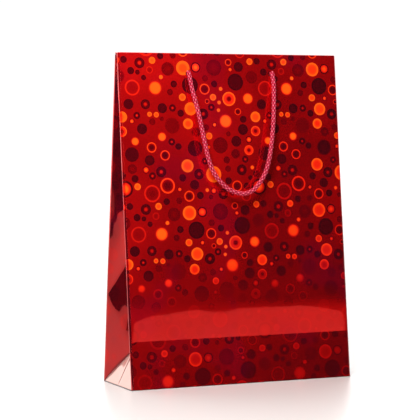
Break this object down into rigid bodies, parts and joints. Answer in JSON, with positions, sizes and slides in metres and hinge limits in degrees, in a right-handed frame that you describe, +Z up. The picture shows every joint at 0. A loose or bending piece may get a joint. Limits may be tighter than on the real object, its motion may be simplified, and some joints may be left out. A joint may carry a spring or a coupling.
{
  "type": "gift bag",
  "caption": "Tall flat-bottomed paper gift bag in glossy red bubble-pattern foil, with inward-folded side gussets, a turned-in reinforced mouth and braided rope handles.",
  "frame": {"origin": "on the floor under the middle of the base", "axes": "+Z up; the front face looks along -Y; +X is to the right of the front face"},
  "size_m": [0.24, 0.0799, 0.3284],
  "materials": {
    "red_foil_paper": "gloss holographic film over red print",
    "white_paper_back": "matt uncoated white",
    "grey_card": "matt recycled grey board",
    "rope": "braided glossy polypropylene",
    "cord_end_plastic": "moulded, slightly glossy"
  },
  "bodies": {
    "base": {"front_bottom_flap": "red_foil_paper", "back_bottom_flap": "red_foil_paper", "left_bottom_flap": "red_foil_paper", "right_bottom_flap": "red_foil_paper", "base_board": "grey_card"},
    "front_panel": {"front_panel": "red_foil_paper", "front_top_board": "grey_card", "front_hem": "red_foil_paper", "front_left_cord_tail": "rope", "front_right_cord_tail": "rope", "front_left_cord_end": "cord_end_plastic", "front_right_cord_end": "cord_end_plastic"},
    "front_handle": {"front_handle_cord": "rope"},
    "back_panel": {"back_panel": "red_foil_paper", "back_top_board": "grey_card", "back_hem": "red_foil_paper", "back_left_cord_tail": "rope", "back_right_cord_tail": "rope", "back_left_cord_end": "cord_end_plastic", "back_right_cord_end": "cord_end_plastic", "side_glue_flap": "white_paper_back"},
    "back_handle": {"back_handle_cord": "rope"},
    "left_gusset_foot": {"left_gusset_foot": "red_foil_paper"},
    "left_gusset_front_lower": {"left_gusset_front_lower": "red_foil_paper"},
    "left_gusset_front_upper": {"left_gusset_front_upper": "red_foil_paper", "left_gusset_front_hem": "red_foil_paper"},
    "left_gusset_back_lower": {"left_gusset_back_lower": "red_foil_paper"},
    "left_gusset_back_upper": {"left_gusset_back_upper": "red_foil_paper", "left_gusset_back_hem": "red_foil_paper"},
    "right_gusset_foot": {"right_gusset_foot": "red_foil_paper"},
    "right_gusset_front_lower": {"right_gusset_front_lower": "red_foil_paper"},
    "right_gusset_front_upper": {"right_gusset_front_upper": "red_foil_paper", "right_gusset_front_hem": "red_foil_paper"},
    "right_gusset_back_lower": {"right_gusset_back_lower": "red_foil_paper"},
    "right_gusset_back_upper": {"right_gusset_back_upper": "red_foil_paper", "right_gusset_back_hem": "red_foil_paper"}
  },
  "joints": [
    {"name": "front_panel_swing", "type": "hinge", "parent": "base", "child": "front_panel", "pos_m": [0, -0.0372, 0], "axis": [1, 0, 0], "range_deg": [0, 4.18]},
    {"name": "back_panel_swing", "type": "hinge", "parent": "base", "child": "back_panel", "pos_m": [0, 0.0372, 0], "axis": [-1, 0, 0], "range_deg": [0, 4.18]},
    {"name": "left_foot_tilt", "type": "hinge", "parent": "base", "child": "left_gusset_foot", "pos_m": [-0.12, 0, 0], "axis": [0, -1, 0], "range_deg": [0, 11.2]},
    {"name": "left_front_edge_crease", "type": "hinge", "parent": "front_panel", "child": "left_gusset_front_lower", "pos_m": [-0.12, -0.0372, 0], "axis": [0, 0.1067, 0.9943], "range_deg": [0, 11.2]},
    {"name": "left_front_slant_crease", "type": "hinge", "parent": "left_gusset_front_lower", "child": "left_gusset_front_upper", "pos_m": [-0.10367, 0, 0.03342], "axis": [-0.0553, -0.0068, 0.9984], "range_deg": [0, 30.07]},
    {"name": "left_back_edge_crease", "type": "hinge", "parent": "back_panel", "child": "left_gusset_back_lower", "pos_m": [-0.12, 0.0372, 0], "axis": [0, 0.1067, -0.9943], "range_deg": [0, 11.2]},
    {"name": "left_back_slant_crease", "type": "hinge", "parent": "left_gusset_back_lower", "child": "left_gusset_back_upper", "pos_m": [-0.10367, 0, 0.03342], "axis": [0.0553, -0.0068, -0.9984], "range_deg": [0, 30.07]},
    {"name": "right_foot_tilt", "type": "hinge", "parent": "base", "child": "right_gusset_foot", "pos_m": [0.12, 0, 0], "axis": [0, 1, 0], "range_deg": [0, 11.2]},
    {"name": "right_front_edge_crease", "type": "hinge", "parent": "front_panel", "child": "right_gusset_front_lower", "pos_m": [0.12, -0.0372, 0], "axis": [0, -0.1067, -0.9943], "range_deg": [0, 11.2]},
    {"name": "right_front_slant_crease", "type": "hinge", "parent": "right_gusset_front_lower", "child": "right_gusset_front_upper", "pos_m": [0.10367, 0, 0.03342], "axis": [-0.0553, 0.0068, -0.9984], "range_deg": [0, 30.07]},
    {"name": "right_back_edge_crease", "type": "hinge", "parent": "back_panel", "child": "right_gusset_back_lower", "pos_m": [0.12, 0.0372, 0], "axis": [0, -0.1067, 0.9943], "range_deg": [0, 11.2]},
    {"name": "right_back_slant_crease", "type": "hinge", "parent": "right_gusset_back_lower", "child": "right_gusset_back_upper", "pos_m": [0.10367, 0, 0.03342], "axis": [0.0553, 0.0068, 0.9984], "range_deg": [0, 30.07]},
    {"name": "front_handle_swing", "type": "hinge", "parent": "front_panel", "child": "front_handle", "pos_m": [0, -0.00974, 0.30843], "axis": [-1, 0, 0], "range_deg": [0, 170]},
    {"name": "back_handle_swing", "type": "hinge", "parent": "back_panel", "child": "back_handle", "pos_m": [0, 0.00974, 0.30843], "axis": [1, 0, 0], "range_deg": [0, 170]}
  ],
  "couplings": [
    {"joint": "back_panel_swing", "follows": "front_panel_swing", "ratio": 1},
    {"joint": "left_foot_tilt", "follows": "front_panel_swing", "ratio": 2.68},
    {"joint": "left_front_edge_crease", "follows": "front_panel_swing", "ratio": 2.68},
    {"joint": "left_front_slant_crease", "follows": "front_panel_swing", "ratio": 7.1959},
    {"joint": "left_back_edge_crease", "follows": "front_panel_swing", "ratio": 2.68},
    {"joint": "left_back_slant_crease", "follows": "front_panel_swing", "ratio": 7.1959},
    {"joint": "right_foot_tilt", "follows": "front_panel_swing", "ratio": 2.68},
    {"joint": "right_front_edge_crease", "follows": "front_panel_swing", "ratio": 2.68},
    {"joint": "right_front_slant_crease", "follows": "front_panel_swing", "ratio": 7.1959},
    {"joint": "right_back_edge_crease", "follows": "front_panel_swing", "ratio": 2.68},
    {"joint": "right_back_slant_crease", "follows": "front_panel_swing", "ratio": 7.1959}
  ]
}
